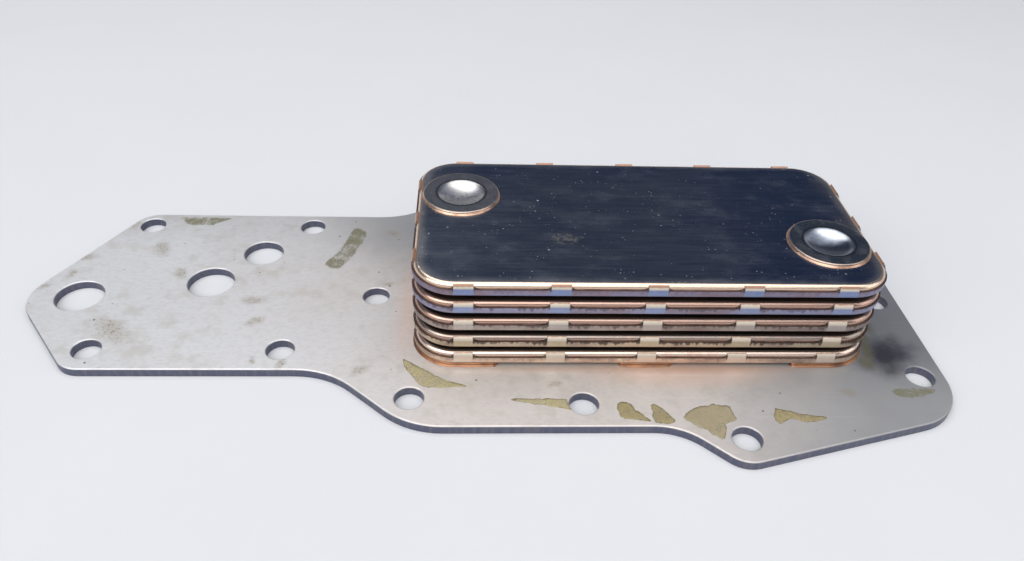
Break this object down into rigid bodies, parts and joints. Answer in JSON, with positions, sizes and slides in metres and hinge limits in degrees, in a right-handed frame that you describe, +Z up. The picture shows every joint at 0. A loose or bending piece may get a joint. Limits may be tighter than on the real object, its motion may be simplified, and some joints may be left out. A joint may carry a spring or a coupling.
{
  "type": "hydraulic oil cooler",
  "caption": "Brazed stacked-plate oil cooler core with closed end ports on a flat lobed bolt-on mounting plate with oil ports and bolt holes.",
  "frame": {"origin": "centre of the plate's outline box on its underside (the sealing face)", "axes": "+X along the plate towards the core end, +Y to the back, +Z up away from the sealing face"},
  "size_m": [0.305, 0.14, 0.0366],
  "materials": {
    "plate_steel": "satin blanked sheet steel, lightly stained",
    "copper_braze": "copper-flashed steel",
    "dish_steel": "bright drawn steel with a copper tint",
    "lid_steel": "polished dark steel with fine brush lines",
    "fin_steel": "plain sheet steel",
    "spacer_steel": "steel with a copper flash",
    "cap_steel": "polished pressed steel"
  },
  "bodies": {
    "root": {"mounting_plate": "plate_steel", "base_shim": "copper_braze", "lower_dish_1": "dish_steel", "lower_dish_2": "dish_steel", "lower_dish_3": "dish_steel", "lower_dish_4": "dish_steel", "lower_dish_5": "dish_steel", "turbulator_1": "fin_steel", "turbulator_2": "fin_steel", "turbulator_3": "fin_steel", "turbulator_4": "fin_steel", "turbulator_5": "fin_steel", "upper_lid_1": "lid_steel", "upper_lid_2": "lid_steel", "upper_lid_3": "lid_steel", "upper_lid_4": "lid_steel", "upper_lid_5": "lid_steel", "port_spacer_left_1": "spacer_steel", "port_spacer_right_1": "spacer_steel", "port_spacer_left_2": "spacer_steel", "port_spacer_right_2": "spacer_steel", "port_spacer_left_3": "spacer_steel", "port_spacer_right_3": "spacer_steel", "port_spacer_left_4": "spacer_steel", "port_spacer_right_4": "spacer_steel", "port_cap_left": "cap_steel", "port_cap_right": "cap_steel"}
  },
  "joints": []
}
